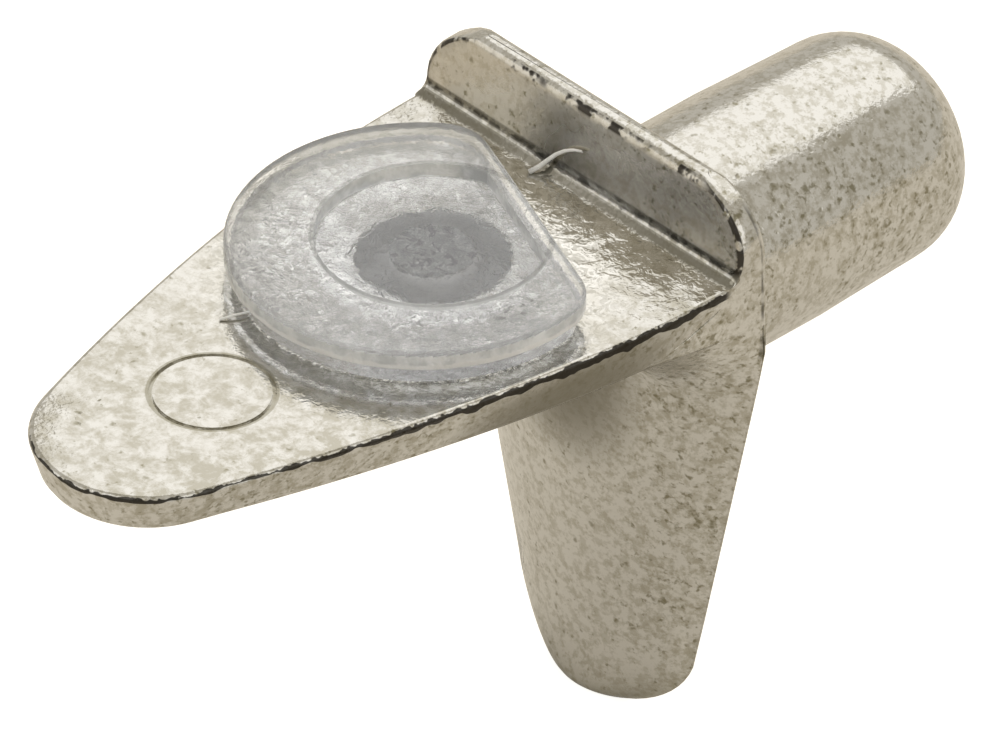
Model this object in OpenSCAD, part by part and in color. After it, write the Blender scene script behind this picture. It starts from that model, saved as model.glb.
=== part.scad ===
// Shelf support pin: a one-piece die-cast body with a clear anti-slip pad plugged into it.
// The origin is on the pin's axis, in the panel's face. +Y goes into the panel, +Z is up,
// and the plate that carries the shelf reaches out towards -Y. Sizes are in millimetres.

/* [Pin] */
// diameter of the pin's parallel part, the size of the hole it plugs into
pin_d = 5; // [4:0.1:6]
// length of the pin from the panel's face to the end of its nose
pin_len = 8.3; // [6.5:0.1:11]
// length of the parallel part, measured from the panel's face
pin_straight = 4; // [1:0.1:4.5]
// how much slimmer the pin has become where the nose starts, on the diameter
pin_draft = 0.18; // [0:0.02:0.4]
// radius of the rounding round the nose
nose_r = 1.7; // [0.6:0.05:1.85]

/* [Plate] */
// reach of the plate from the panel's face to its tip
plate_len = 14.8; // [12:0.2:18]
// height of the plate's top above the pin's axis
plate_top = 2.83; // [2.63:0.1:3.63]
// thickness of the plate's edge at the tip
plate_t_tip = 0.98; // [0.8:0.02:1.2]
// thickness of the plate where it meets the upstand
plate_t_root = 1.4; // [1.3:0.05:2]
// half-width the side lines would have at the panel's face if they ran straight on
side_half = 4.7; // [4.6:0.05:5.2]
// radius of the long curve of each side
side_r = 51; // [31:2:91]
// radius of the tip, seen from above
tip_r = 2.35; // [1.6:0.05:2.8]
// distance from the panel's face at which the hips of the leg have run out into the side
hip_len = 4; // [3:0.1:5]
// how far the lower edge is drawn in by the draft of the side
side_draft = 0.32; // [0.1:0.02:0.4]
// radius of the soft lower edge
belly_r = 0.2; // [0.1:0.05:0.6]
// radius of the crisp upper edge
rim_r = 0.12; // [0.05:0.01:0.2]

/* [Upstand] */
// half of the width of the upstand, the widest place of the body
up_half = 4.55; // [4.2:0.05:5]
// height of the upstand above the plate
up_h = 1.75; // [1.2:0.05:2.4]
// thickness of the upstand at its top edge
up_t_top = 0.5; // [0.4:0.05:0.8]
// thickness of the upstand just above the plate
up_t_root = 0.8; // [0.6:0.05:1.1]
// width of the large rounding at each upper corner
up_corner_w = 1.75; // [1:0.05:2.6]
// where that rounding begins above the plate
up_corner_z = 0.4; // [0.3:0.05:0.8]
// fillet between the plate and the upstand
up_fillet = 0.3; // [0.15:0.05:0.5]
// rounding of the upstand's edges
up_edge = 0.18; // [0.08:0.01:0.22]

/* [Leg] */
// depth of the leg's tip below the pin's axis
leg_bottom = 9.25; // [8:0.05:12]
// how much the half-width shrinks for each millimetre down
leg_taper = 0.236; // [0.18:0.004:0.26]
// height above the pin's axis at which the taper starts
leg_start = 0.9; // [0.6:0.05:1.1]
// radius of the rounded tip, seen from the front
leg_tip_r = 1.95; // [1:0.05:2.1]
// bulge of the leg's front, as a share of its half-width
leg_bulge = 0.345; // [0.25:0.005:0.6]
// radius of the hollow between the leg's front and the plate's underside
leg_fillet = 2.4; // [1.4:0.1:2.8]
// rounding of the leg's rear edges
leg_edge = 0.12; // [0.06:0.01:0.2]

/* [Pad] */
// diameter of the pad's disc
pad_d = 7.76; // [6.5:0.02:8.2]
// how far the disc sits off its stem, away from the flat side
pad_shift = 0.26; // [0:0.02:0.4]
// thickness of the pad's disc
pad_t = 0.86; // [0.6:0.02:1.2]
// distance of the pad's stem from the panel's face
pad_y = 4.76; // [4.7:0.02:5.4]
// distance from the stem's axis to the pad's flat side
pad_flat = 2.18; // [1.8:0.02:2.8]
// how far the pad has turned on its stem
pad_turn = 21; // [-180:1:180]
// radius of the corners where the flat side meets the disc
pad_corner = 1.1; // [0.4:0.05:1.3]
// rounding of the pad's upper edge
pad_edge = 0.1; // [0.06:0.01:0.16]
// height of the pad's overhanging rim
pad_rim = 0.44; // [0.3:0.02:0.5]
// how far the rim hangs over the pad's foot
pad_hang = 0.2; // [0.1:0.02:0.3]
// diameter of the dished middle of the pad
dish_d = 4.7; // [3.6:0.1:5.2]
// width of the strip left between the dish and the flat side
dish_strip = 0.4; // [0.25:0.05:0.6]
// depth of the dished middle
dish_depth = 0.3; // [0.1:0.05:0.35]
// diameter of the stem that plugs into the plate
stem_d = 3.1; // [2:0.05:3.6]
// diameter of the blind hole up the middle of the stem
stem_bore_d = 1.7; // [0.8:0.1:1.9]
// clearance all round the stem in the plate's hole
stem_gap = 0.05; // [0.02:0.01:0.15]

/* [Ejector mark] */
// diameter of the round mark that the ejector leaves on the plate
mark_d = 2.46; // [1.6:0.02:3]
// distance of the mark's centre from the panel's face
mark_y = 10.7; // [10.4:0.1:11.6]
// width of the thin groove round the mark
mark_w = 0.09; // [0.06:0.01:0.14]
// depth of that groove
mark_deep = 0.05; // [0.02:0.01:0.1]

/* [Hidden] */
$fn = 64;
pin_r = pin_d / 2;
nose_base = pin_r - pin_draft / 2;
hole_r = stem_d / 2 + stem_gap;
metal = [0.75, 0.74, 0.71];
clear = [0.86, 0.87, 0.87, 0.6];

// ---- one closed solid through a stack of rings with equal numbers of points, lowest first
module skin(rings) {
    n = len(rings[0]);
    m = len(rings);
    polyhedron(
        points = [for (r = rings) each r],
        faces = concat(
            [[for (i = [0:n - 1]) i]],
            [[for (i = [n - 1:-1:0]) (m - 1) * n + i]],
            [for (j = [0:m - 2], i = [0:n - 1], k = [0, 1])
                let (a = j * n + i, b = j * n + (i + 1) % n)
                    k == 0 ? [a, a + n, b + n] : [a, b + n, b]]));
}

// ---- plate: two long arcs run into a round tip, and the sides never get wider than the upstand
tip_c = plate_len - tip_r;                       // centre of the tip's arc
// centre of the long arc: it passes (side_half, 0) and touches the tip's arc from inside
arc_a = (2 * side_r * tip_r - tip_r * tip_r - side_half * side_half + tip_c * tip_c) / (2 * side_half);
arc_b = tip_c / side_half;
arc_p = side_half + arc_a;
arc_c = (arc_b * arc_p - sqrt(pow(arc_b * arc_p, 2)
        - (1 + arc_b * arc_b) * (arc_p * arc_p - side_r * side_r))) / (1 + arc_b * arc_b);
arc_x = arc_b * arc_c - arc_a;
tip_a = atan2(tip_c - arc_c, -arc_x);            // direction in which the two arcs touch
function soft_min(a, b, k) = (a + b - sqrt((a - b) * (a - b) + k * k)) / 2;
function side_at(v) = soft_min(up_half - 0.02, arc_x + sqrt(side_r * side_r - pow(v - arc_c, 2)), 0.12);
touch_v = tip_c + tip_r * sin(tip_a);
side_n = 22;
tip_n = 14;
// half of the outline, from the root to the tip: [half-width, distance from the panel]
half_line = concat(
    [for (i = [0:side_n - 1]) let (v = 0.1 + (touch_v - 0.1) * i / side_n) [side_at(v), v]],
    [for (i = [0:tip_n]) let (a = tip_a + (90 - tip_a) * i / tip_n)
        [tip_r * cos(a), tip_c + tip_r * sin(a)]]);
line_n = len(half_line);
// outward direction of the outline at point i
function line_dir(i) =
    let (p = half_line[max(i - 1, 0)], q = half_line[min(i + 1, line_n - 1)],
         d = i == line_n - 1 ? [-1, 0] : q - p, l = norm(d)) [d[1] / l, -d[0] / l];
function plate_t(v) = plate_t_root + (plate_t_tip - plate_t_root) * v / plate_len;
// depth of the upright part of the side: near the upstand the hips of the leg cut it short
hip_v = 0.3;
function edge_t(v) = plate_t(v) * sin(90 * min(1, max(0, (v - hip_v) / (hip_len - hip_v))));
// how far the side leans in at the bottom: less round the tip, which is blunter
tip_full = 0.08;
function lean(v) = side_draft - tip_full * max(0, (v - tip_c) / tip_r);
// a ring drawn in by d and by a share e of lean and hips' recess; its height is a share f of the
// thickness plus h
hip_in = 0.12;
function plate_ring(d, e, f, h) = [for (k = [1, -1], i = k > 0 ? [0:line_n - 1] : [line_n - 2:-1:0])
    let (v = half_line[i][1], in = lean(v) + hip_in * (1 - edge_t(v) / plate_t(v)),
         p = half_line[i] - (d + e * in) * line_dir(i))
    [-k * p[0], -max(0.1, p[1]), plate_top - f * plate_t(v) + h]];
// the ring at the foot of the upright part
function hip_ring() = [for (k = [1, -1], i = k > 0 ? [0:line_n - 1] : [line_n - 2:-1:0])
    let (v = half_line[i][1], t = max(rim_r + 0.02, min(edge_t(v), plate_t(v) - belly_r - 0.02)),
         p = half_line[i] - lean(v) * t / plate_t(v) * line_dir(i))
    [-k * p[0], -max(0.1, p[1]), plate_top - t]];

module plate() {
    skin(concat(
        [for (a = [0:18:90]) plate_ring(belly_r * (1 - sin(a)), 1, 1, belly_r * (1 - cos(a)))],
        [hip_ring()],
        [for (a = [0:30:90]) plate_ring(rim_r * (1 - cos(a)), 0, 0, rim_r * (sin(a) - 1))]));
}

// ---- back: upstand and leg in one sweep of level sections, from the leg's tip to the top edge
// a level section: half-width w at the rear, rear edge rounding e; the front is an arc that bulges b
// beyond its ends at (f, s), with corners of radius c; all of it is shifted forward by y
arc_n = 24;
cor_n = 6;
function section(z, w, s, b, e, c, y, f) =
    let (bb = max(b, 0.01), rr = (f * f + bb * bb) / (2 * bb), yc = s + bb - rr,
         cy = yc + sqrt(pow(rr - c, 2) - pow(f - c, 2)), th = atan2(cy - yc, f - c))
    concat(
        [for (a = [0, 45, 90]) [-w + e - e * sin(a), -y - e + e * cos(a), z]],
        [for (i = [0:cor_n]) let (a = th * i / cor_n) [-f + c - c * cos(a), -y - cy - c * sin(a), z]],
        [for (i = [1:arc_n - 1]) let (t = th + (180 - 2 * th) * i / arc_n)
            [-rr * cos(t), -y - yc - rr * sin(t), z]],
        [for (i = [cor_n:-1:0]) let (a = th * i / cor_n) [f - c + c * cos(a), -y - cy - c * sin(a), z]],
        [for (a = [90, 45, 0]) [w - e + e * sin(a), -y - e + e * cos(a), z]]);

function leg_half(z) = up_half - leg_taper * (leg_start - z);
tip_a0 = atan(leg_taper);                        // the tip's arc starts in line with the leg's sides
tip_mid = leg_bottom - leg_tip_r * (1 - sin(tip_a0)); // depth at which it starts
tip_half = leg_half(-tip_mid);
function leg_w(z) = z > leg_start ? up_half : leg_half(z);
// the hollow under the plate: a loft from the leg (0) to its foot on the underside (1), which
// fans out early at the sides and follows a quarter round in the middle
hip_z = plate_top - plate_t(hip_len);            // height of the underside there
function hollow(z, side) = let (t = min(1, max(0, (z - hip_z + leg_fillet) / leg_fillet)))
    (1 - side) * (1 - sqrt(1 - t * t)) + side * pow(t, 2.2);
leg_s = 0.06;                                    // thickness of the leg's rear edges
foot_f = side_at(hip_len) - side_draft - belly_r; // half-width of the loft's foot on the underside
hip_t = 0.4;                                     // share of the outline that becomes the foot's sides
// half of the leg's outline: t runs from 0 at the rear edge to 1 in the middle of the front
function leg_line(t, w) = let (b = leg_bulge * w, r = (w * w + b * b) / (2 * b), x = w * (1 - t))
    [x, leg_s + b - r + sqrt(r * r - x * x)];
function foot_line(t, w) = t < hip_t ? [w + (foot_f - w) * t / hip_t, leg_s + (hip_len - leg_s) * t / hip_t]
    : [foot_f * (1 - t) / (1 - hip_t), hip_len + 0.1 * (t - hip_t)];
front_n = (arc_n + 2 * cor_n) / 2;
function leg_section(z) = let (w = leg_w(z), e = min(leg_edge, 0.8 * leg_s + 0.1 * hollow(z, 1)))
    concat(
        [for (a = [0, 45, 90]) [-w + e - e * sin(a), -e + e * cos(a), z]],
        [for (i = [-front_n:front_n]) let (t = 1 - abs(i) / front_n, u = hollow(z, max(0, 1 - t / 0.7)),
            p = (1 - u) * leg_line(t, w) + u * foot_line(t, w)) [sign(i) * p[0], -p[1], z]],
        [for (a = [90, 45, 0]) [w - e + e * sin(a), -e + e * cos(a), z]]);
// between the underside and the top the hips draw back towards the upstand
function hip_section(v) = let (t = edge_t(v), q = t / plate_t(v)) section(plate_top - t, up_half, v, 0.1,
    leg_edge, 0.06, 0, side_at(v) - side_draft * q - belly_r * pow(q, 8) + 0.02);
// the rounded end of the leg: a is tip_a0 where it starts and 90 at the very bottom
tip_deep = leg_s + leg_bulge * tip_half;          // depth of the leg where its tip starts
tip_core = tip_half - leg_tip_r * cos(tip_a0);
function tip_section(a) = let (k = cos(90 * (a - tip_a0) / (90 - tip_a0)), w = tip_core + leg_tip_r * cos(a),
        s = leg_s * k + 0.02)
    section(leg_tip_r * (1 - sin(a)) - leg_bottom, w, s, max(0.05, tip_deep * pow(k, 0.6) - s),
        0.04 * k + 0.008, 0.03 * k + 0.01, 0.7 * tip_deep * (1 - k), w);

up_top = plate_top + up_h;
up_rise = up_h - up_corner_z;
function up_t(z) = let (f = min(1, max(0, (z - plate_top) / up_h)), r = up_fillet,
    g = max(0, r - max(0, z - plate_top)))
    up_t_root + (up_t_top - up_t_root) * f + r - sqrt(max(0, r * r - g * g));
function up_w(z) = let (g = (z - plate_top - up_corner_z) / up_rise)
    g <= 0 ? up_half : up_half - up_corner_w + up_corner_w * sqrt(max(0, 1 - g * g));
// just above the plate the front is as narrow as the plate there
function up_f(z) = up_w(z) - (up_half - side_at(up_t_root + up_fillet)) * max(0, 1 - (z - plate_top) / 0.5);
function up_section(z) = section(z, up_w(z), up_t(z), 0, up_edge * 0.8, up_edge, 0, min(up_f(z), up_w(z)));
// the top edge: the section closes in from both sides and from the ends
function top_section(a) = let (z = up_top - up_edge + up_edge * sin(a), i = up_edge * (1 - cos(a)),
        w = up_w(up_top - up_edge * (1 - 0.85 * sin(a))))
    section(z, w, up_t(z) - 2 * i, 0, up_edge * 0.6, up_edge * 0.8 * (0.35 + 0.65 * cos(a)), i, w);

module back() {
    skin(concat(
        [for (i = [11:-1:1]) tip_section(tip_a0 + (90 - tip_a0) * i / 12)],
        [for (i = [1:6]) leg_section(-tip_mid + (hip_z - leg_fillet + tip_mid) * i / 6)],
        [for (a = [9:9:90]) leg_section(hip_z - leg_fillet + leg_fillet * sin(a))],
        [for (i = [1:7]) hip_section(hip_len + (1.2 - hip_len) * i / 7)],
        [up_section(plate_top - 0.2)],
        [for (i = [0:4]) up_section(plate_top + up_fillet * pow(i / 4, 1.5))],
        [for (a = [0:9:63]) up_section(plate_top + up_corner_z + (up_rise - up_edge) * sin(a) / sin(72))],
        [for (a = [0:30:90]) top_section(a)]));
}

// ---- pin: a parallel part, a slight draft, and a rounded nose
module pin() {
    rotate([-90, 0, 0]) rotate_extrude() union() {
        polygon([[0, -0.3], [pin_r, -0.3], [pin_r, pin_straight], [nose_base, pin_len - nose_r],
            [nose_base - nose_r, pin_len - nose_r], [nose_base - nose_r, pin_len], [0, pin_len]]);
        intersection() {
            translate([nose_base - nose_r, pin_len - nose_r]) circle(r = nose_r);
            translate([0, pin_len - nose_r]) square([pin_d, nose_r + 1]);
        }
    }
}

module support_body() {
    color(metal) difference() {
        union() {
            plate();
            back();
            pin();
        }
        // hole for the pad's stem
        translate([0, -pad_y, plate_top - 4]) cylinder(r = hole_r, h = 6);
        // groove round the ejector's mark
        translate([0, -mark_y, plate_top - mark_deep]) difference() {
            cylinder(d = mark_d + mark_w, h = 1);
            translate([0, 0, -1]) cylinder(d = mark_d - mark_w, h = 3);
        }
    }
}

// ---- pad: a disc with one flat side and two rounded corners, as a ring at height z drawn in by d;
// its rim hangs over a smaller foot
pad_r = pad_d / 2;
foot_top = pad_t - pad_rim;
low_edge = 0.06;                                 // rounding of the rim's lower edge
corner_h = pad_flat + pad_shift - pad_corner;    // the corner's centre above the disc's
corner_x = sqrt(pow(pad_r - pad_corner, 2) - corner_h * corner_h);
corner_y = pad_flat - pad_corner;
corner_a = atan2(corner_h, corner_x);            // direction in which corner and disc touch
function pad_ring(z, d) = concat(
    [for (a = [corner_a:(90 - corner_a) / 6:90.01]) [corner_x + (pad_corner - d) * cos(a),
        corner_y + (pad_corner - d) * sin(a), z]],
    [for (a = [90:(90 - corner_a) / 6:180.01 - corner_a]) [-corner_x + (pad_corner - d) * cos(a),
        corner_y + (pad_corner - d) * sin(a), z]],
    [for (i = [1:59]) let (a = 180 - corner_a + (180 + 2 * corner_a) * i / 60)
        [(pad_r - d) * cos(a), (pad_r - d) * sin(a) - pad_shift, z]]);

module pad() {
    color(clear) translate([0, -pad_y, plate_top]) rotate([0, 0, -pad_turn]) difference() {
        union() {
            skin(concat(
                [pad_ring(0, pad_hang + 0.04), pad_ring(0.04, pad_hang), pad_ring(foot_top - 0.05, pad_hang),
                    pad_ring(foot_top, pad_hang - 0.05)],
                [for (a = [0:30:90]) pad_ring(foot_top + 0.01 + low_edge * (1 - cos(a)),
                    low_edge * (1 - sin(a)))],
                [for (a = [0:22.5:90]) pad_ring(pad_t - pad_edge * (1 - sin(a)), pad_edge * (1 - cos(a)))]));
            translate([0, 0, -plate_t_root]) cylinder(d = stem_d, h = plate_t_root + 0.2);
        }
        // dish, cut off straight beside the flat side
        translate([0, 0, pad_t - dish_depth]) intersection() {
            cylinder(d = dish_d, h = 1);
            translate([-pad_d, -pad_d, -1]) cube([2 * pad_d, pad_d + pad_flat - dish_strip, 3]);
        }
        translate([0, 0, -3]) cylinder(d = stem_bore_d, h = 3 + pad_t - dish_depth - 0.2);
    }
}

support_body();
pad();
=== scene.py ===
# %% [markdown]
# # A shelf support pin in its studio
# The object is a small support that carries a shelf inside a cabinet. A nickel-plated casting has a round
# pin for the hole in the cabinet's side, a pointed plate that the shelf lies on, a low upstand behind it
# and a leg that leans on the panel. A clear plastic pad is plugged into the plate so that the shelf
# doesn't slide. The solids come ready made at their real size, and this lesson gives them their
# finishes, the marks of their making, and a studio.

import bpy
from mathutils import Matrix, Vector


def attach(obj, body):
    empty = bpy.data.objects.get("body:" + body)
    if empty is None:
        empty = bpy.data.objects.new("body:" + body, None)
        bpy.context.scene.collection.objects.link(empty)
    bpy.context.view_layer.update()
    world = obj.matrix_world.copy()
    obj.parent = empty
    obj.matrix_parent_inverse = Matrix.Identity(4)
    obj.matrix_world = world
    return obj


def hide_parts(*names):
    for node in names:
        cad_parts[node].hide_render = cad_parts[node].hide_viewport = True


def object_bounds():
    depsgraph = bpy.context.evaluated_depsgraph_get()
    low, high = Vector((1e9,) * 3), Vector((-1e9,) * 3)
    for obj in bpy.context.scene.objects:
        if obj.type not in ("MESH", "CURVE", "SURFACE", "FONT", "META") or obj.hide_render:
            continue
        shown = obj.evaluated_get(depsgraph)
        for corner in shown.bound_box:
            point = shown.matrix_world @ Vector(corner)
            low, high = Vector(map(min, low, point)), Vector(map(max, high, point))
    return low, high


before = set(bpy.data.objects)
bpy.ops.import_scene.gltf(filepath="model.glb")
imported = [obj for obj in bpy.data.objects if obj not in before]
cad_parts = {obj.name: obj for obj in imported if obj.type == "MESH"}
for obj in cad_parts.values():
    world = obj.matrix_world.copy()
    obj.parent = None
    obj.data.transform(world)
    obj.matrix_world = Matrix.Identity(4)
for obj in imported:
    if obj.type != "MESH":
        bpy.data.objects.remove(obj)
cad_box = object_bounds()
print("CAD nodes:", sorted(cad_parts))

# %% Tools and units
import math

import bmesh
import bpy
from mathutils import Matrix, Vector

MM = 0.001    # Blender counts in metres, and this object is easier to read in millimetres


def linked(name, mesh):
    """A new object that holds a mesh, with its origin at the world's."""
    piece = bpy.data.objects.new(name, mesh)
    bpy.context.scene.collection.objects.link(piece)
    return piece


size_mm = [round((high - low) / MM, 2) for low, high in zip(*cad_box)]
print("size in mm:", size_mm)

# %% [markdown]
# ## Nodes in few words
# A material is a small graph. Written out by hand it takes three lines for each node, so one helper makes
# a node, sets what it is told and joins its inputs. A second helper starts a node group, which is how one
# effect, such as a cast skin or a set of fine pits, is shared by several materials.

# %% Two helpers for shader graphs


def node(tree, kind, inputs=None, **settings):
    """Makes a shader node. A value in inputs is a number, a colour, or the socket that feeds it."""
    made = tree.nodes.new("ShaderNode" + kind)
    for key, value in settings.items():
        setattr(made, key, value)
    for key, value in (inputs or {}).items():
        if isinstance(value, bpy.types.NodeSocket):
            tree.links.new(value, made.inputs[key])
        else:
            made.inputs[key].default_value = value
    return made


def group(name, inputs, outputs):
    """Starts a node group, and gives its tree, its input node and its output node."""
    tree = bpy.data.node_groups.new(name, "ShaderNodeTree")
    for label, kind, value in inputs:
        socket = tree.interface.new_socket(label, in_out="INPUT", socket_type="NodeSocket" + kind)
        if value is not None:
            socket.default_value = value
    for label, kind in outputs:
        tree.interface.new_socket(label, in_out="OUTPUT", socket_type="NodeSocket" + kind)
    return tree, tree.nodes.new("NodeGroupInput"), tree.nodes.new("NodeGroupOutput")


def placed(tree, made_group, **inputs):
    """Puts a finished group into another graph."""
    return node(tree, "Group", {k.replace("_", " "): v for k, v in inputs.items()}, node_tree=made_group)


def material(name):
    """An empty material with its shader and output joined, and its coordinates in millimetres."""
    made = bpy.data.materials.new(name)
    made.use_nodes = True
    tree = made.node_tree
    tree.nodes.clear()
    shader = node(tree, "BsdfPrincipled")
    node(tree, "OutputMaterial", {"Surface": shader.outputs[0]})
    place = node(tree, "TexCoord").outputs["Object"]
    millimetres = node(tree, "Mapping", {"Vector": place, "Scale": (1 / MM,) * 3}).outputs[0]
    return made, tree, shader, millimetres


def feed(tree, shader, **sockets):
    """Joins or sets the shader's sockets by name."""
    for label, value in sockets.items():
        socket = shader.inputs[label.replace("_", " ")]
        if isinstance(value, bpy.types.NodeSocket):
            tree.links.new(value, socket)
        else:
            socket.default_value = value


def ramp(tree, value, low, high, to_low=0.0, to_high=1.0):
    """Spreads low..high over to_low..to_high, smoothly and clamped."""
    return node(tree, "MapRange", {"Value": value, "From Min": low, "From Max": high, "To Min": to_low,
                                   "To Max": to_high}, interpolation_type="SMOOTHSTEP").outputs[0]


def maths(tree, operation, first, second=0.0, clamp=False):
    """One step of arithmetic on numbers or sockets."""
    return node(tree, "Math", {0: first, 1: second}, operation=operation, use_clamp=clamp).outputs[0]


def mixed(tree, factor, first, second):
    """Mixes two colours by a factor."""
    made = node(tree, "Mix", data_type="RGBA")
    for label, value in ((0, factor), (6, first), (7, second)):
        if isinstance(value, bpy.types.NodeSocket):
            tree.links.new(value, made.inputs[label])
        else:
            made.inputs[label].default_value = value
    return made.outputs[2]


def noise(tree, place, scale, detail, roughness=0.5, distortion=0.0):
    """Soft random clouds between 0 and 1. The scale is how many fit in a millimetre."""
    settings = {"Scale": scale, "Detail": detail, "Roughness": roughness, "Distortion": distortion}
    return node(tree, "TexNoise", {"Vector": place, **settings}).outputs[0]


def product(tree, *values):
    """All the values multiplied."""
    result = values[0]
    for value in values[1:]:
        result = maths(tree, "MULTIPLY", result, value)
    return result


def less(tree, first, second):
    """The first value less the second."""
    return maths(tree, "SUBTRACT", first, second)


def bumped(tree, height, millimetres):
    """A normal that is bent as if the surface rose by a height."""
    return node(tree, "Bump", {"Height": height, "Strength": 1.0, "Distance": millimetres * MM}).outputs[0]


print("helpers ready")

# %% [markdown]
# ## The casting's skin
# Nickel on a zinc casting isn't a mirror. The plating follows the skin of the casting, which is wrinkled
# like orange peel, and the bath leaves it cloudy, with brown stains and little pits. A picture wrapped on
# the part could show this, but it would stretch at the corners. Noise in the solid's own coordinates runs
# through the whole part without a seam. Each effect has its own size: clouds of 2 mm set where the stains
# crowd, the mottling is near 0.4 mm, stains near 0.15 mm, and the peel and grain go into the bump.

# %% A node group for the plated skin
STAIN_LEVEL = 0.715      # how high the noise must be to leave a stain where there are no clouds
PITS_PER_MM = 4.0        # how many pits could lie along a millimetre

skin, skin_in, skin_out = group(
    "plated_skin",
    [("Place", "Vector", None), ("Peel", "Float", 1.0), ("Pits", "Float", 0.5)],
    [("Height", "Float"), ("Spots", "Float"), ("Mottle", "Float"), ("Clouds", "Float")])
place = skin_in.outputs["Place"]
peel = noise(skin, place, 4.2, 2.0, 0.6, 0.6)
grain = noise(skin, place, 11.0, 2.0, 0.6)
clouds = noise(skin, place, 0.45, 2.0)
mottle = noise(skin, place, 2.2, 4.0, 0.72, 0.3)
stains = noise(skin, place, 6.4, 2.5, 0.55, 0.2)
crowd = ramp(skin, clouds, 0.36, 0.64, 0.035, -0.035)      # more stains where the clouds are thick
least = maths(skin, "ADD", crowd, less(skin, STAIN_LEVEL, product(skin, skin_in.outputs["Pits"], 0.125)))
stained = ramp(skin, stains, less(skin, least, 0.06), maths(skin, "ADD", least, 0.13))
print("skin's clouds, grain and stains:", len(skin.nodes), "nodes")

# %% Little pits, each in a cell of its own
wobble = node(skin, "VectorMath", {0: place, 1: node(skin, "VectorMath", {
    0: node(skin, "TexNoise", {"Vector": place, "Scale": 7.0, "Detail": 1.0}).outputs["Color"],
    "Scale": 0.16}, operation="SCALE").outputs[0]}, operation="ADD").outputs[0]
cells = node(skin, "TexVoronoi", {"Vector": wobble, "Scale": PITS_PER_MM, "Randomness": 1.0})
chance = node(skin, "SeparateColor", {"Color": cells.outputs["Color"]})
present = maths(skin, "LESS_THAN", chance.outputs[0], product(skin, skin_in.outputs["Pits"], 0.3))
reach = ramp(skin, chance.outputs[1], 0.0, 1.0, 0.2, 0.36)
pit = product(skin, present, ramp(skin, maths(skin, "DIVIDE", cells.outputs["Distance"], reach), 1.1, 0.2))
spots = maths(skin, "MAXIMUM", product(skin, pit, 0.8), stained)
rough_height = maths(skin, "ADD", product(skin, peel, skin_in.outputs["Peel"]), product(skin, grain, 0.3))
for value, label in ((less(skin, rough_height, product(skin, pit, 0.3)), "Height"), (spots, "Spots"),
                     (ramp(skin, mottle, 0.33, 0.67), "Mottle"), (clouds, "Clouds")):
    skin.links.new(value, skin_out.inputs[label])
print("skin group:", len(skin.nodes), "nodes")

# %% [markdown]
# ## Edges and corners
# Dark reflections along sharp edges and shade in deep corners are painted into the colour here, with the
# stains' brown. A bevel node compares each point's own normal with a softened one and so finds the edges,
# and an occlusion node finds the corners. Both masks work on any shape.

# %% Masks for edges and recesses
PLATE_TOP = 2.83                   # height of the plate's top, in millimetres like all the sizes here
MARK_Y, MARK_R = -10.7, 1.23       # where the round ejector mark is along the plate, and its radius
STEM_Y, BORE_R = -4.76, 0.85       # where the pad's stem stands, and the radius of the hole up its middle
DISH_R, DISH_Z = 2.35, 3.39        # the round dish in the pad's top: its radius and the height of its floor
DISC_X, DISC_Y = -0.09, -5.00      # the middle of the pad's round outline
PAD_TOP, RIM_LOW = 3.69, 3.25      # heights of the pad's top and of its rim's lower edge

# soft patches, each with its centre and its reach along X, Y and Z
UNDER_PAD = (-0.15, -4.95, PLATE_TOP), (5.0, 5.0, 1.0)
HIP = (4.3, -1.9, 2.1), (0.9, 1.8, 0.7)
UNDER_PLATE = (3.9, -4.7, 1.4), (3.0, 3.3, 2.4)
LEG_TOP = (0.0, -1.3, -0.8), (2.5, 2.8, 3.1)
SPECKED = (3.0, -5.2, PAD_TOP), (0.3, 0.8, 0.3)


def edge_mask(tree, radius):
    """1 along edges tighter than the radius in millimetres, 0 on open surfaces."""
    soft = node(tree, "Bevel", {"Radius": radius * MM}, samples=6).outputs[0]
    own = node(tree, "NewGeometry").outputs["Normal"]
    match = node(tree, "VectorMath", {0: soft, 1: own}, operation="DOT_PRODUCT").outputs["Value"]
    return ramp(tree, less(tree, 1.0, match), 0.015, 0.12)


def recess_mask(tree, reach, low, high):
    """1 in corners that see little of the surroundings within a reach in millimetres."""
    open_share = node(tree, "AmbientOcclusion", {"Distance": reach * MM}, samples=8).outputs["AO"]
    return ramp(tree, less(tree, 1.0, open_share), low, high)


def window(tree, value, low, high, soft):
    """1 between low and high, with soft borders."""
    return product(tree, ramp(tree, value, low - soft, low), ramp(tree, value, high + soft, high))


def blot(tree, x, y, z, centre, reach):
    """A soft round patch at a centre, with a reach along each axis in millimetres."""
    squares = [maths(tree, "POWER", maths(tree, "DIVIDE", less(tree, value, middle), far), 2.0)
               for value, middle, far in zip((x, y, z), centre, reach)]
    return ramp(tree, maths(tree, "ADD", maths(tree, "ADD", squares[0], squares[1]), squares[2]), 1.0, 0.0)


def distance(tree, x, y, middle_x, middle_y):
    """How far a point is from an upright axis."""
    across = maths(tree, "POWER", less(tree, x, middle_x), 2.0)
    along = maths(tree, "POWER", less(tree, y, middle_y), 2.0)
    return maths(tree, "SQRT", maths(tree, "ADD", across, along))


print("mask helpers ready")
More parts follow.
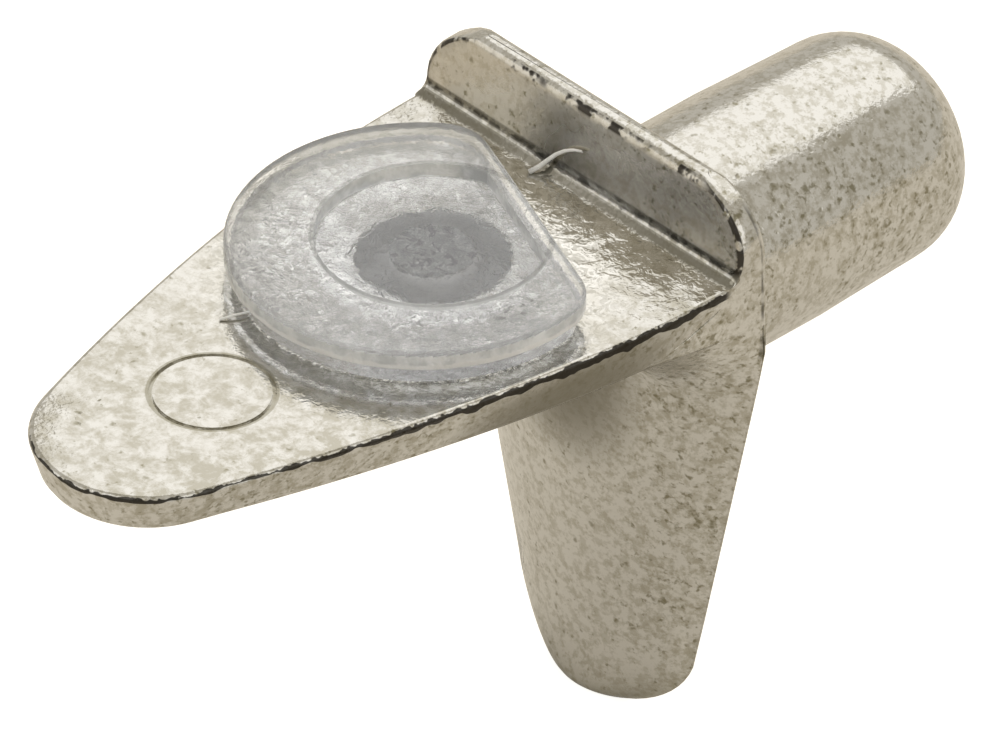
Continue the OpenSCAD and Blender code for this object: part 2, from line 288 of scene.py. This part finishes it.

# %% [markdown]
# ## Nickel on zinc
# The finish starts from one warm light grey. Over it come the greys and browns of a cheap plating bath:
# a dull cloudy grey and brown stains. Light and shade are painted over them too: shade in the hollows, in
# the corners and on the right side, a brown reflection on the upstand's face, dark reflections along the
# sharp edges and light on the plate under the pad. Each is laid over the last with a mask that says where
# it belongs. Painting them on a picture would need unwrapping, so every mask is worked out from place and
# direction.

# %% The colours of the plating, and of the light and shade painted on it
NICKEL = (0.70, 0.692, 0.668, 1.0)     # warm light grey, as plated nickel is
LIT_UNDER_PAD = (0.95, 0.945, 0.93, 1.0)       # painted light on the plate under the pad, which gets little light through the plastic
WRINKLE = (0.56, 0.55, 0.52, 1.0)      # the grey between its wrinkles
CLOUDED = (0.47, 0.45, 0.39, 1.0)      # where the bath left it dull, also painted shade on the right side
MIRRORED_BROWN = (0.50, 0.42, 0.27, 1.0)       # painted reflection: the warm brown that the upstand's face mirrors
STAIN_AND_SHADE = (0.20, 0.18, 0.105, 1.0)       # the brown of stains and pits, also used for painted shade and painted dark reflections
SHADE = (0.19, 0.178, 0.14, 1.0)       # painted shade deep in a hollow
EDGE_LINE_DARK = (0.012, 0.009, 0.006, 1.0)     # painted dark reflection along a sharp edge
print("plating colours:", NICKEL[:3], "to", EDGE_LINE_DARK[:3])

# %% Where the plate is, and how strongly its skin shows
nickel, tree, shader, at = material("cast_nickel")
facing = node(tree, "NewGeometry").outputs["Normal"]
face_x, face_y, face_z = node(tree, "SeparateXYZ", {"Vector": facing}).outputs[:3]
x, y, z = node(tree, "SeparateXYZ", {"Vector": at}).outputs[:3]
side_x = maths(tree, "ABSOLUTE", x)
flat_top = ramp(tree, face_z, 0.85, 0.97)
plate = product(tree, flat_top, window(tree, z, PLATE_TOP - 0.1, PLATE_TOP + 0.1, 0.05))
near_upstand = ramp(tree, y, -4.6, -2.6)      # the plate is most wrinkled there and under the pad
under_pad = product(tree, blot(tree, x, y, z, *UNDER_PAD), 1.2)
plate_peel = maths(tree, "MAXIMUM", ramp(tree, near_upstand, 0.0, 1.0, 0.5, 1.5), under_pad)
right_shade_pits = maths(tree, "ADD", 0.45, ramp(tree, x, 0.3, 3.0, 0.0, 0.5))      # most on the right side, as painted shade where the light leaves that side darker
plated = placed(tree, skin, Place=at, Peel=ramp(tree, plate, 0.0, 1.0, 0.55, plate_peel),
                Pits=ramp(tree, plate, 0.0, 1.0, right_shade_pits, 0.2))
print("cast nickel started:", len(tree.nodes), "nodes")

# %% Clouds and stains, with painted shade on the right and a painted brown on the upstand
UPSTAND_LOW, UPSTAND_HIGH = 2.9, 3.2      # between these heights the upstand's face begins
SPECKLE = 0.42                            # how far fine speckle moves the cloudiness up and down

upstand = product(tree, ramp(tree, z, UPSTAND_LOW, UPSTAND_HIGH), ramp(tree, face_y, -0.6, -0.8))
# painted shade: duller towards the right side (larger x), which the light leaves darker
dull_and_shade = maths(tree, "ADD", ramp(tree, x, 0.0, 3.2, 0.45, 0.75), product(tree, plate, 0.3))
dull_and_shade = maths(tree, "ADD", dull_and_shade, ramp(tree, y, -7.5, -11.0, 0.0, 0.25))      # duller towards the tip
dull_and_shade = product(tree, dull_and_shade, ramp(tree, upstand, 0.0, 1.0, 1.0, 0.5))
speckle = product(tree, ramp(tree, noise(tree, at, 5.0, 3.0, 0.7), 0.38, 0.62, -SPECKLE, SPECKLE),
                  ramp(tree, plate, 0.0, 1.0, 1.0, 0.4))
clouded_and_shaded = maths(tree, "ADD", product(tree, plated.outputs["Mottle"], dull_and_shade), speckle, clamp=True)
shade = mixed(tree, clouded_and_shaded, NICKEL, CLOUDED)
# painted reflection: the upstand's face is tinted with the brown that it mirrors
shade = mixed(tree, product(tree, upstand, 0.3), shade, MIRRORED_BROWN)
shade = mixed(tree, product(tree, plated.outputs["Spots"], 0.8), shade, STAIN_AND_SHADE)
print("clouded and stained:", len(tree.nodes), "nodes")

# %% Painted shade in corners and painted dark reflections along edges
off_mark = ramp(tree, y, -9.0, -9.3, 1.0, 0.15)      # the ejector's ring is shallow, and stays pale
off_upstand = ramp(tree, z, PLATE_TOP + 0.03, UPSTAND_HIGH, 1.0, 0.1)
off_hip = ramp(tree, blot(tree, side_x, y, z, *HIP), 0.0, 0.5, 1.0, 0.0)
# painted shade: darker where the occlusion node finds a corner
corners = product(tree, recess_mask(tree, 3.0, 0.25, 0.7), off_mark, off_upstand, 0.6)
shade = mixed(tree, corners, shade, STAIN_AND_SHADE)
# painted dark reflections and shade along edges
shade = mixed(tree, product(tree, edge_mask(tree, 0.07), off_mark, off_hip, 0.45), shade, STAIN_AND_SHADE)
print("painted_shade in corners and along edges:", len(tree.nodes), "nodes")

# %% [markdown]
# ## The hollow and the corners
# The hollow where the plate runs into the leg lies in shade under the plate, and that shade is painted
# into the colour as a darker grey. The corner at the foot of the upstand gets the same painted shade, but
# its rounding keeps one unpainted line, where it catches the light. Soft blots at measured places do it,
# and they stay where they are however the part is turned.

# %% The shaded hollow and the upstand's foot
HIP_SLOPE, HIP_HEIGHT = 0.52, 3.16              # the hip's upper border is the line z = slope * y + height
FILLET_FRONT, FILLET_BACK = -1.16, -0.72        # where the rounding at the upstand's foot starts and ends
LINE_LOW, LINE_HIGH = 0.56, 0.64                # the rounding shines where it faces this far up

not_facing_up = ramp(tree, face_z, 0.3, 0.1)
# painted shade in the hollow under the plate and at the top of the leg
hollow = maths(tree, "MAXIMUM", blot(tree, side_x, y, z, *UNDER_PLATE), blot(tree, side_x, y, z, *LEG_TOP))
from_mark = distance(tree, x, y, 0.0, MARK_Y)
# painted shade: a dark line in the groove of the ejector's ring
groove = product(tree, window(tree, from_mark, MARK_R - 0.02, MARK_R + 0.08, 0.03), flat_top, 0.55)
shade = mixed(tree, groove, shade, STAIN_AND_SHADE)
shade = mixed(tree, product(tree, hollow, not_facing_up, 0.92), shade, SHADE)
facing_sideways = ramp(tree, maths(tree, "ABSOLUTE", face_x), 0.7, 0.85)
# painted shade on the plate's side above the hip line
above_hip = less(tree, z, maths(tree, "ADD", product(tree, y, HIP_SLOPE), HIP_HEIGHT))
above_hip = product(tree, ramp(tree, above_hip, 0.0, 0.08), not_facing_up, facing_sideways,
                    window(tree, y, -7.0, -0.9, 1.0))
shade = mixed(tree, product(tree, above_hip, 0.2), shade, SHADE)
# painted shade at the upstand's foot, except for one bright line on its rounding
fillet = product(tree, window(tree, y, FILLET_FRONT, FILLET_BACK, 0.03),
                 window(tree, z, PLATE_TOP + 0.03, PLATE_TOP + 0.29, 0.05),
                 window(tree, face_z, 0.12, 0.96, 0.04), ramp(tree, face_y, -0.1, -0.2))
bright_line = window(tree, face_z, LINE_LOW, LINE_HIGH, 0.05)
shade = mixed(tree, product(tree, fillet, less(tree, 1.0, bright_line), 0.8), shade, SHADE)
print("hollow and fillet:", len(tree.nodes), "nodes")

# %% [markdown]
# ## Dark lines on the edges
# The rounded edges mirror something dark, and that dark reflection is painted into the colour as a dark
# line just under the plate's edge. It is wider towards the upstand, it is ragged, and it has gaps in
# places. One noise breaks it, and a finer one tears its border. The same two noises break the painted
# dark lines on the upstand's lip and the painted shade in the crease beside the flange.

# %% The painted dark line along the plate's edge
EDGE_LINE_THIN, EDGE_LINE_THICK = 0.09, 0.25      # how far down the side it reaches, at the tip and at the pad
EDGE_LINE_SOFT = 0.015                        # how soft its border is
FLANGE_FRONT = -0.9                       # the flange is behind this, and has no painted line of this kind

breaks = noise(tree, at, 1.1, 2.0, 0.6)
ragged = noise(tree, at, 3.4, 2.0, 0.6)
below = less(tree, PLATE_TOP - 0.01, z)
ragged_top = less(tree, below, ramp(tree, ragged, 0.35, 0.65, 0.0, 0.045))
width = product(tree, ramp(tree, y, -12.5, -5.0, EDGE_LINE_THIN, EDGE_LINE_THICK),
                ramp(tree, breaks, 0.35, 0.65, 0.55, 1.3))
dark_edge_line = product(tree, ramp(tree, ragged_top, 0.0, EDGE_LINE_SOFT),
                ramp(tree, less(tree, below, width), EDGE_LINE_SOFT, 0.0),
                ramp(tree, face_z, 0.9, 0.8), ramp(tree, face_x, -0.75, -0.35, 0.2, 1.0),
                ramp(tree, y, FLANGE_FRONT, FLANGE_FRONT - 0.2),
                ramp(tree, from_mark, MARK_R + 0.10, MARK_R + 0.17))
print("crust along the plate's edge:", len(tree.nodes), "nodes")

# %% Painted dark lines on the upstand's lip and painted shade beside the flange
lip_breaks = maths(tree, "MAXIMUM", product(tree, ramp(tree, breaks, 0.4, 0.5), ramp(tree, ragged, 0.4, 0.52)),
              product(tree, ramp(tree, x, 2.9, 3.6), ramp(tree, ragged, 0.36, 0.46)))
lip = product(tree, window(tree, face_y, -0.9, -0.5, 0.1), ramp(tree, z, UPSTAND_LOW, 3.1),
              window(tree, y, -1.2, -0.3, 0.05), lip_breaks)
crease = product(tree, window(tree, y, -0.15, 0.01, 0.04), ramp(tree, face_y, 0.3, 0.1),
                 ramp(tree, z, 0.3, 1.2), ramp(tree, side_x, 3.9, 4.2),
                 ramp(tree, breaks, 0.40, 0.54), 0.75)
dark_edge_lines = maths(tree, "MAXIMUM", maths(tree, "MAXIMUM", dark_edge_line, lip), crease)
print("crust on the lip and in the crease:", len(tree.nodes), "nodes")

# %% [markdown]
# ## Under the pad
# Under the pad the plate gets little light through the plastic, so light is painted there: a brighter
# colour with fine wrinkles, which the clear plastic shows, and a bright crescent under the dish. The
# shine comes last: a satin that changes with the clouds, and a bump from the skin group.
# shows them. The shine comes last: a satin that changes with the clouds, and a bump from the skin group.

# %% Painted light and wrinkles under the pad, and the shine
PAINTED_CRESCENT = (1.0, 1.0, 0.99, 1.0)      # painted highlight: the crescent under the near half of the dish

# painted light: the plate under the pad is made brighter, with wrinkles and a bright crescent
lit_plate = mixed(tree, ramp(tree, noise(tree, at, 4.2, 3.0, 0.6, 1.6), 0.43, 0.56), WRINKLE, LIT_UNDER_PAD)
crescent = product(tree, window(tree, distance(tree, x, y, 0.0, STEM_Y), BORE_R + 0.75, DISH_R, 0.15),
                   ramp(tree, y, -4.7, -5.6), 0.85)
lit_plate = mixed(tree, crescent, lit_plate, PAINTED_CRESCENT)
shade = mixed(tree, maths(tree, "MULTIPLY", under_pad, 0.8, clamp=True), shade, lit_plate)
# the painted dark lines along the edges go over everything
colour = mixed(tree, product(tree, dark_edge_lines, 0.92), shade, EDGE_LINE_DARK)
satin = ramp(tree, plated.outputs["Clouds"], 0.35, 0.65, 0.11, 0.17)
roughness = maths(tree, "ADD", satin, product(tree, upstand, 0.13))
feed(tree, shader, Base_Color=colour, Roughness=roughness, Metallic=1.0,
     Normal=bumped(tree, plated.outputs["Height"], 0.014))
print("cast nickel:", len(tree.nodes), "nodes")

# %% [markdown]
# ## The casting
# The solid arrives as loose triangles. A copy with its corners merged can be shaded smooth, with sharp
# edges only where two faces really meet at an angle. A Weighted Normal modifier then lets the large flat
# faces win over the small ones beside them, which keeps the plate's reflection even.

# %% A smooth copy of a node
MERGE = 0.0005 * MM      # corners closer than this are one corner
SHARP_DEGREES = 32       # edges that turn more than this stay sharp


def smooth_copy(source, name, lift=None):
    """A merged copy of a CAD node. lift raises the corners at a height by an amount."""
    shape = bmesh.new()
    shape.from_mesh(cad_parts[source].data)
    bmesh.ops.remove_doubles(shape, verts=shape.verts, dist=MERGE)
    bmesh.ops.dissolve_degenerate(shape, edges=shape.edges, dist=MERGE)
    if lift:
        height, rise = lift
        level = [v for v in shape.verts if abs(v.co.z - height) < 0.005 * MM]
        bmesh.ops.translate(shape, verts=level, vec=(0, 0, rise))
        print(name, "corners lifted:", len(level))
    for face in shape.faces:
        face.smooth = True
    for edge in shape.edges:
        edge.smooth = edge.is_manifold and edge.calc_face_angle(0.0) < math.radians(SHARP_DEGREES)
    open_edges = sum(not edge.is_manifold for edge in shape.edges)
    print(name, len(shape.faces), "faces", open_edges, "open edges")
    mesh = bpy.data.meshes.new(name)
    shape.to_mesh(mesh)
    shape.free()
    piece = linked(name, mesh)
    flats = piece.modifiers.new("flats", "WEIGHTED_NORMAL")
    flats.keep_sharp = True
    return piece


casting = smooth_copy("support_body", "casting")
casting.data.materials.clear()
casting.data.materials.append(nickel)
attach(casting, "root")
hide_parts("support_body")
print("casting in place of support_body")

# %% [markdown]
# ## The clear pad
# The pad is moulded in soft clear plastic and plugged into the plate with a stem. Clear plastic bends
# light, so most of what it shows is the plate under it, broken up by its own wrinkled faces. A thin sheet
# of glass would be quicker to render, but it would lose the bright lines at the pad's steps. Here it is
# solid: the top is smooth, the underside and the dish's floor are wrinkled, and the walls, which left the
# mould last, are milky, with a painted highlight along the rim's lower edge and painted shade on the far
# side. The stem is painted as the shaded hole seen through the pad: dull greys with thin painted
# highlights, which show as a grey shape in the middle of the pad.

# %% Clear plastic
PLASTIC_IOR = 1.46                     # how strongly this soft plastic bends light
WHITE = (1.0, 1.0, 1.0, 1.0)
VEIN = (0.95, 0.95, 0.95, 1.0)         # faint veins all through
FAR_EDGE_SHADE = (0.62, 0.62, 0.60, 1.0)     # painted shade on the pad's far edge
DISH_LINE = (0.45, 0.45, 0.43, 1.0)    # a darker line round the dish
SPECK = (0.22, 0.21, 0.19, 1.0)        # dark specks on the right


def far_side(tree, x, y):
    """1 on the half of the pad that is turned to the left and to the upstand."""
    return ramp(tree, less(tree, less(tree, y, DISC_Y), x), 0.5, 2.5)


clear, tree, shader, at = material("clear_plastic")
x, y, z = node(tree, "SeparateXYZ", {"Vector": at}).outputs[:3]
from_stem = distance(tree, x, y, 0.0, STEM_Y)
from_disc = distance(tree, x, y, DISC_X, DISC_Y)
# painted shade: a greyer band on the pad's far edge
far_shade_band = product(tree, ramp(tree, from_disc, 3.36, 3.44), far_side(tree, x, y), 0.7)
dish_edge = product(tree, window(tree, from_stem, DISH_R - 0.03, DISH_R + 0.07, 0.04),
                    ramp(tree, z, DISH_Z - 0.05, DISH_Z))
specks = product(tree, blot(tree, x, y, z, *SPECKED), ramp(tree, noise(tree, at, 5.5, 2.0), 0.52, 0.60))
veins = ramp(tree, noise(tree, at, 4.0, 3.0, 0.6, 1.4), 0.42, 0.58)
tint = mixed(tree, veins, VEIN, WHITE)
tint = mixed(tree, far_shade_band, tint, FAR_EDGE_SHADE)
tint = mixed(tree, product(tree, dish_edge, 0.8), tint, DISH_LINE)
tint = mixed(tree, product(tree, specks, 0.9), tint, SPECK)
print("clear plastic's colour:", len(tree.nodes), "nodes")

# %% Wrinkles of the clear plastic
dish_floor = product(tree, window(tree, z, DISH_Z - 0.03, DISH_Z + 0.03, 0.01),
                     ramp(tree, from_stem, DISH_R - 0.01, DISH_R - 0.05))
strength = ramp(tree, z, PLATE_TOP + 0.04, PLATE_TOP + 0.12, 1.0, 0.27)      # full on the underside
strength = maths(tree, "ADD", strength, product(tree, dish_floor, 0.54))
ripple = product(tree, less(tree, noise(tree, at, 2.8, 3.0, 0.65, 1.0), 0.5), strength)
haze = ramp(tree, noise(tree, at, 1.1, 3.0, 0.6), 0.35, 0.65, 0.02, 0.08)
feed(tree, shader, Base_Color=tint, Roughness=haze, Normal=bumped(tree, ripple, 0.13), Metallic=0.0,
     Transmission_Weight=0.88, IOR=PLASTIC_IOR)
print("clear plastic:", len(tree.nodes), "nodes")

# %% The stem, painted as the shaded hole
BORE_TOP = 3.19                            # height at which the hole up the stem ends
# painted shade: the stem's dark greys stand for the shaded hole seen through the pad
STEM_DARK = (0.21, 0.215, 0.23, 1.0)
STEM_LIGHT = (0.32, 0.325, 0.34, 1.0)
BORE_WALL = (0.84, 0.845, 0.86, 1.0)       # painted light: pale, so that the walls down the hole look lit though little light gets there
LIGHT_LINE = (0.92, 0.92, 0.92, 1.0)          # painted highlights: thin light lines

stem, tree, shader, at = material("shaded_stem")
z = node(tree, "SeparateXYZ", {"Vector": at}).outputs[2]
stem_noise = noise(tree, at, 3.4, 5.0, 0.7, 1.5)
grey = mixed(tree, ramp(tree, stem_noise, 0.42, 0.58), STEM_DARK, STEM_LIGHT)
grey = mixed(tree, ramp(tree, z, BORE_TOP - 0.19, BORE_TOP - 0.04, 1.0, 0.0), grey, BORE_WALL)
light_lines = window(tree, stem_noise, 0.49, 0.51, 0.012)
grey = mixed(tree, product(tree, light_lines, 0.5), grey, LIGHT_LINE)
feed(tree, shader, Base_Color=grey, Roughness=0.5, Normal=bumped(tree, stem_noise, 0.05))
print("stem:", len(tree.nodes), "nodes")

# %% The milky walls
MILKY = (0.70, 0.715, 0.73, 1.0)
FROSTED = (0.92, 0.935, 0.95, 1.0)
FAR_WALL_SHADE = (0.40, 0.40, 0.385, 1.0)      # painted shade on the far walls

milky, tree, shader, at = material("milky_plastic")
x, y, z = node(tree, "SeparateXYZ", {"Vector": at}).outputs[:3]
frost = noise(tree, at, 2.0, 3.0, 0.6)
# painted highlight: a white band along the rim's lower edge
low = ramp(tree, less(tree, z, ramp(tree, frost, 0.35, 0.65, 0.0, 0.05)), RIM_LOW + 0.16, RIM_LOW + 0.10)
cloudy = mixed(tree, ramp(tree, frost, 0.4, 0.6), MILKY, FROSTED)
tint = mixed(tree, low, cloudy, WHITE)
from_disc = distance(tree, x, y, DISC_X, DISC_Y)
# painted shade: the far walls are greyer
far_walls_shaded = product(tree, ramp(tree, from_disc, 3.0, 3.4), far_side(tree, x, y), 0.85)
tint = mixed(tree, far_walls_shaded, tint, FAR_WALL_SHADE)
feed(tree, shader, Base_Color=tint, Roughness=0.06, Normal=bumped(tree, frost, 0.07), Metallic=0.0,
     Transmission_Weight=0.45, IOR=PLASTIC_IOR)
print("milky plastic:", len(tree.nodes), "nodes")

# %% [markdown]
# ## The pad in its place
# The pad is a smooth copy, as the casting is. Where its underside touches the plate, the renderer couldn't
# tell which face comes first, so the underside is raised by a fiftieth of a millimetre. Two loose pieces
# leave such a gap anyway. Then the faces are sorted into the three finishes by where they lie.

# %% The pad
UNDERSIDE_GAP = 0.02      # how far the underside is raised off the plate
WALL_HEIGHT = 0.36        # how much of the rim's wall is milky, measured from its lower edge

pad = smooth_copy("pad", "clear_pad", (PLATE_TOP * MM, UNDERSIDE_GAP * MM))
pad.data.materials.clear()
for finish in (clear, stem, milky):
    pad.data.materials.append(finish)
for face in pad.data.polygons:
    height, upward = face.center.z / MM, face.normal.z
    from_axis = math.hypot(face.center.x, face.center.y - STEM_Y * MM) / MM
    on_stem = height < PLATE_TOP - 0.005 or (from_axis < BORE_R + 0.01 and upward < -0.1)
    upright = abs(upward) < 0.95 and height > RIM_LOW
    on_wall = upright and (height < RIM_LOW + WALL_HEIGHT or from_axis < DISH_R + 0.05)
    face.material_index = 1 if on_stem else 2 if on_wall else 0
print("pad faces, clear, stem and milky:",
      [sum(face.material_index == slot for face in pad.data.polygons) for slot in range(3)])
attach(pad, "root")
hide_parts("pad")

# %% [markdown]
# ## Threads of flash
# Where the mould's halves meet, a little plastic escapes and leaves hair-thin white threads. Two of them
# cling to this part, one at the foot of the upstand and one beside the pad. A curve with a round bevel
# would do, but a circle that is pushed along a path by extruding keeps everything one closed mesh, and it
# can grow thinner on the way.

# %% White flash
flash, tree, shader, at = material("white_flash")
white = mixed(tree, noise(tree, at, 9.0, 2.0), (0.90, 0.90, 0.89, 1.0), (1.0, 1.0, 0.99, 1.0))
feed(tree, shader, Base_Color=white, Roughness=0.45)
print("white flash:", len(tree.nodes), "nodes")

# %% Threads of flash
TAPER = 0.6      # how strongly a thread thins on its way
BACK_PATH = [(-1.02, -1.20, 2.86), (-0.92, -1.02, 2.96), (-0.80, -0.92, 3.12), (-0.62, -0.85, 3.33),
             (-0.42, -0.80, 3.50), (-0.20, -0.76, 3.62), (0.02, -0.74, 3.69)]
FRONT_PATH = [(-1.62, -8.98, 2.86), (-1.52, -8.80, 2.90), (-1.40, -8.55, 2.92), (-1.30, -8.25, 2.90),
              (-1.26, -8.05, 2.90)]


def thread(name, path, radius):
    """A thin round thread through a path, tapered to its far end. Sizes in millimetres."""
    shape = bmesh.new()
    tip = bmesh.ops.create_circle(shape, cap_ends=True, segments=10, radius=radius * MM)["verts"]
    points = [Vector(p) * MM for p in path]
    turned = Vector((0, 0, 1)).rotation_difference(points[1] - points[0]).to_matrix()
    bmesh.ops.rotate(shape, verts=tip, cent=(0, 0, 0), matrix=turned)
    bmesh.ops.translate(shape, verts=tip, vec=points[0])
    face = shape.faces[:][0]
    for number, (start, end) in enumerate(zip(points, points[1:])):
        grown = bmesh.ops.extrude_face_region(shape, geom=[face])["geom"]
        if number > 0:      # the first face closes the end, the later ones would be walls inside
            bmesh.ops.delete(shape, geom=[face], context="FACES_ONLY")
        tip = [g for g in grown if isinstance(g, bmesh.types.BMVert)]
        face = next(g for g in grown if isinstance(g, bmesh.types.BMFace))
        bmesh.ops.translate(shape, verts=tip, vec=end - start)
        shrink = 1.0 - TAPER / len(points)
        bmesh.ops.scale(shape, verts=tip, vec=(shrink,) * 3, space=Matrix.Translation(-end))
    bmesh.ops.recalc_face_normals(shape, faces=shape.faces)
    for part in shape.faces:
        part.smooth = True
    print(name, len(shape.faces), "faces", sum(not e.is_manifold for e in shape.edges), "open edges")
    mesh = bpy.data.meshes.new(name)
    shape.to_mesh(mesh)
    shape.free()
    made = linked(name, mesh)
    mesh.materials.append(flash)
    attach(made, "root")


thread("flash_thread_back", BACK_PATH, radius=0.055)
thread("flash_thread_front", FRONT_PATH, radius=0.03)

# %% [markdown]
# ## The floor
# The part stands on white paper. If the paper were really as bright as it looks, it would light the metal
# from below and wash it out. So it is a pale warm grey for the light, and a light path node makes it white
# for the camera and for rays that come through the plastic. The shadow stays, because a part of the
# paper's look is still plain diffuse.

# %% Floor
FLOOR_Z = cad_box[0].z - 0.005 * MM      # a hair under the leg's tip, so that the two faces don't mix
FLOOR_REACH = 0.6                        # how far the paper runs from the middle, in metres
PAPER = (0.72, 0.67, 0.58, 1.0)          # what the light sees of it
GLOW = 0.82                              # how strongly the paper glows for the camera
GLOW_IN_METAL = 0.15                     # the share of the glow that the metal mirrors

paper, tree, shader, at = material("white_paper")
rays = node(tree, "LightPath").outputs
seen = maths(tree, "MAXIMUM", rays["Is Camera Ray"], rays["Is Transmission Ray"])
seen = maths(tree, "ADD", seen, product(tree, rays["Is Glossy Ray"], GLOW_IN_METAL), clamp=True)
feed(tree, shader, Base_Color=PAPER, Roughness=0.9, Specular_IOR_Level=0.0,
     Emission_Color=WHITE, Emission_Strength=product(tree, seen, GLOW))
sheet = bmesh.new()
bmesh.ops.create_grid(sheet, x_segments=1, y_segments=1, size=FLOOR_REACH)
bmesh.ops.translate(sheet, verts=sheet.verts, vec=(0, 0, FLOOR_Z))
mesh = bpy.data.meshes.new("floor")
sheet.to_mesh(mesh)
sheet.free()
floor = linked("floor", mesh)
floor.data.materials.append(paper)
print("floor at", round(FLOOR_Z / MM, 3), "mm")

# %% [markdown]
# ## The air around
# Metal shows what surrounds it. The warm grey of a plain room is what fills the darker faces of the
# plating. The camera sees white instead, and so do the rays that leave the clear pad.

# %% World
AIR = (0.62, 0.585, 0.51, 1.0)      # the warm grey that lights the metal from all sides

world = bpy.data.worlds.new("studio")
bpy.context.scene.world = world
world.use_nodes = True
tree = world.node_tree
tree.nodes.clear()
rays = node(tree, "LightPath").outputs
seen = maths(tree, "MAXIMUM", rays["Is Camera Ray"], rays["Is Transmission Ray"])
air = mixed(tree, seen, AIR, WHITE)
sky = node(tree, "Background", {"Color": air, "Strength": 1.0})
node(tree, "OutputWorld", {"Surface": sky.outputs[0]})
print("world ready, air", AIR[:3])

# %% [markdown]
# ## Softboxes
# A shiny part is lit with large soft lamps, because each lamp is seen in the metal as a bright shape. The
# big one behind puts its light on the plate and on the top of the pin. The other three are smaller, for
# the pin's side, the leg and the upstand. Their strength is near that of the air, so colours stay true.

# %% Lamps
LIT_POINT = Vector((0, -3 * MM, 0))      # what the lamps are turned to, near the part's middle
LAMPS = [      # name, azimuth, elevation, how far away, width, height, radiance
    ("back_box", 205, 48.5, 0.30, 0.32, 0.27, 0.66),
    ("right_box", 100, 30, 0.30, 0.20, 0.20, 0.5),
    ("front_box", 10, 50, 0.35, 0.20, 0.20, 0.7),
    ("low_box", 322, 22, 0.35, 0.30, 0.20, 0.45)]


def softbox(name, azimuth, elevation, away, width, height, radiance):
    """A rectangular lamp that faces the part. Angles are in degrees and lengths in metres."""
    lamp = bpy.data.lights.new(name, "AREA")
    lamp.shape, lamp.size, lamp.size_y = "RECTANGLE", width, height
    lamp.energy = radiance * math.pi * width * height
    holder = bpy.data.objects.new(name, lamp)
    bpy.context.scene.collection.objects.link(holder)
    a, e = math.radians(azimuth), math.radians(elevation)
    out = Vector((math.sin(a) * math.cos(e), -math.cos(a) * math.cos(e), math.sin(e)))
    holder.location = LIT_POINT + out * away
    holder.rotation_mode = "QUATERNION"
    holder.rotation_quaternion = (-out).to_track_quat("-Z", "Y")


for row in LAMPS:
    softbox(*row)

# %% [markdown]
# ## The camera
# Such a small part is taken from far away with a long lens, and its parallel edges stay parallel. A
# parallel camera does that exactly. It looks from the right and from above, over the plate's point.

# %% Camera
AZIMUTH, ELEVATION = math.radians(46.74), math.radians(36.29)      # where the camera is
VIEW_WIDTH = 19.583 * MM                             # how much of the scene fits across the view
AIM_RIGHT, AIM_UP = -2.1725 * MM, -1.5302 * MM       # the view's middle, seen from the origin
AWAY = 0.12                                          # metres, which changes nothing in a parallel view

right = Vector((math.cos(AZIMUTH), math.sin(AZIMUTH), 0))
back = Vector((math.sin(AZIMUTH) * math.cos(ELEVATION), -math.cos(AZIMUTH) * math.cos(ELEVATION),
               math.sin(ELEVATION)))
upward = back.cross(right)
aim = right * AIM_RIGHT + upward * AIM_UP
camera = bpy.data.objects.new("camera", bpy.data.cameras.new("camera"))
bpy.context.scene.collection.objects.link(camera)
camera.data.type = "ORTHO"
camera.data.ortho_scale = VIEW_WIDTH
camera.data.clip_start, camera.data.clip_end = 0.001, 5.0
turned = Matrix((right, upward, back)).transposed().to_4x4()
camera.matrix_world = Matrix.Translation(aim + back * AWAY) @ turned
bpy.context.scene.camera = camera
bpy.context.scene.view_settings.view_transform = "Standard"
print("camera at", [round(value / MM, 1) for value in camera.matrix_world.translation], "mm")
